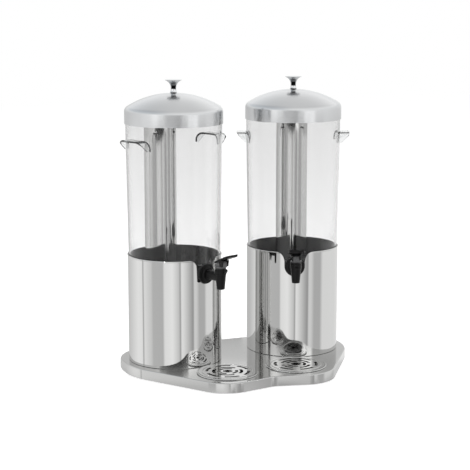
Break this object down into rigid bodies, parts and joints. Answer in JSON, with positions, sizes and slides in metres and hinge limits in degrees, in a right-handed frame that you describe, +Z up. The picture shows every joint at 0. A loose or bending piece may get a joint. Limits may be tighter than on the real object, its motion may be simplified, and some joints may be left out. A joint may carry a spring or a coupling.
{
  "type": "cold beverage dispenser",
  "caption": "Twin cold drinks dispenser: clear tanks with domed steel lids and ice tubes stand in polished sleeves with lever taps over drip trays on a shared base.",
  "frame": {"origin": "middle of the base's footprint, on the counter under the feet", "axes": "+X to the right as seen from the front, -Y towards the person pouring, +Z up"},
  "size_m": [0.5, 0.3346, 0.598],
  "materials": {
    "base_steel": "polished stainless steel, mirror top and soft skirt",
    "polished_steel": "mirror polished stainless steel",
    "tray_steel": "polished stainless steel",
    "lid_steel": "soft polished stainless steel",
    "satin_steel": "plain stainless steel",
    "chrome_knob": "bright chrome",
    "clear_tank": "clear moulded polycarbonate",
    "black_plastic": "satin black moulding",
    "grey_plastic": "smooth dark grey moulding",
    "black_silicone": "matt silicone",
    "black_rubber": "matt rubber"
  },
  "bodies": {
    "stand": {"base_shell": "base_steel", "front_left_foot": "black_rubber", "front_right_foot": "black_rubber", "side_left_foot": "black_rubber", "side_right_foot": "black_rubber", "back_left_foot": "black_rubber", "back_right_foot": "black_rubber", "left_sleeve": "polished_steel", "left_tank_shelf": "satin_steel", "right_sleeve": "polished_steel", "right_tank_shelf": "satin_steel"},
    "left_tank_unit": {"left_tank": "clear_tank", "left_outer_handle": "clear_tank", "left_inner_handle": "clear_tank", "left_outer_gasket": "black_silicone", "left_inner_gasket": "black_silicone", "left_tap_nut": "black_plastic", "left_tap_body": "black_plastic", "left_tap_bonnet": "grey_plastic", "left_stem_seal": "black_silicone", "left_tap_spring": "satin_steel"},
    "left_lid_unit": {"left_lid_shell": "lid_steel", "left_lid_knob": "chrome_knob", "left_knob_screw": "satin_steel", "left_tube_holder": "satin_steel", "left_ice_tube": "polished_steel", "left_tube_plug": "satin_steel"},
    "left_lever_unit": {"left_tap_lever": "black_plastic", "left_lever_pin": "satin_steel"},
    "left_valve_unit": {"left_tap_stem": "black_plastic", "left_seat_plug": "black_silicone"},
    "left_cup_unit": {"left_drip_cup": "tray_steel"},
    "left_grid_unit": {"left_drip_grid": "tray_steel"},
    "right_tank_unit": {"right_tank": "clear_tank", "right_outer_handle": "clear_tank", "right_inner_handle": "clear_tank", "right_outer_gasket": "black_silicone", "right_inner_gasket": "black_silicone", "right_tap_nut": "black_plastic", "right_tap_body": "black_plastic", "right_tap_bonnet": "grey_plastic", "right_stem_seal": "black_silicone", "right_tap_spring": "satin_steel"},
    "right_lid_unit": {"right_lid_shell": "lid_steel", "right_lid_knob": "chrome_knob", "right_knob_screw": "satin_steel", "right_tube_holder": "satin_steel", "right_ice_tube": "polished_steel", "right_tube_plug": "satin_steel"},
    "right_lever_unit": {"right_tap_lever": "black_plastic", "right_lever_pin": "satin_steel"},
    "right_valve_unit": {"right_tap_stem": "black_plastic", "right_seat_plug": "black_silicone"},
    "right_cup_unit": {"right_drip_cup": "tray_steel"},
    "right_grid_unit": {"right_drip_grid": "tray_steel"}
  },
  "joints": [
    {"name": "left_tank_lift", "type": "slide", "parent": "stand", "child": "left_tank_unit", "axis": [0, 0, 1], "range_m": [0, 0.1]},
    {"name": "left_lid_lift", "type": "slide", "parent": "left_tank_unit", "child": "left_lid_unit", "axis": [0, 0, 1], "range_m": [0, 0.36]},
    {"name": "left_lever_press", "type": "hinge", "parent": "left_tank_unit", "child": "left_lever_unit", "pos_m": [-0.0786, -0.07777, 0.2435], "axis": [0.9336, 0.3584, 0], "range_deg": [0, 20], "stiffness_Nm_per_rad": 0.5, "springref_deg": -3.44},
    {"name": "left_valve_lift", "type": "slide", "parent": "left_tank_unit", "child": "left_valve_unit", "axis": [0, 0, 1], "range_m": [0, 0.00289], "deforming": ["left_tap_spring"]},
    {"name": "left_cup_lift", "type": "slide", "parent": "stand", "child": "left_cup_unit", "axis": [0, 0, 1], "range_m": [0, 0.05]},
    {"name": "left_grid_lift", "type": "slide", "parent": "left_cup_unit", "child": "left_grid_unit", "axis": [0, 0, 1], "range_m": [0, 0.04]},
    {"name": "right_tank_lift", "type": "slide", "parent": "stand", "child": "right_tank_unit", "axis": [0, 0, 1], "range_m": [0, 0.1]},
    {"name": "right_lid_lift", "type": "slide", "parent": "right_tank_unit", "child": "right_lid_unit", "axis": [0, 0, 1], "range_m": [0, 0.36]},
    {"name": "right_lever_press", "type": "hinge", "parent": "right_tank_unit", "child": "right_lever_unit", "pos_m": [0.0786, -0.07777, 0.2435], "axis": [0.9336, -0.3584, 0], "range_deg": [0, 20], "stiffness_Nm_per_rad": 0.5, "springref_deg": -3.44},
    {"name": "right_valve_lift", "type": "slide", "parent": "right_tank_unit", "child": "right_valve_unit", "axis": [0, 0, 1], "range_m": [0, 0.00289], "deforming": ["right_tap_spring"]},
    {"name": "right_cup_lift", "type": "slide", "parent": "stand", "child": "right_cup_unit", "axis": [0, 0, 1], "range_m": [0, 0.05]},
    {"name": "right_grid_lift", "type": "slide", "parent": "right_cup_unit", "child": "right_grid_unit", "axis": [0, 0, 1], "range_m": [0, 0.04]}
  ],
  "couplings": [
    {"joint": "left_lever_press", "follows": "left_valve_lift", "rad_per_m": 120.48},
    {"joint": "right_lever_press", "follows": "right_valve_lift", "rad_per_m": 120.48}
  ]
}
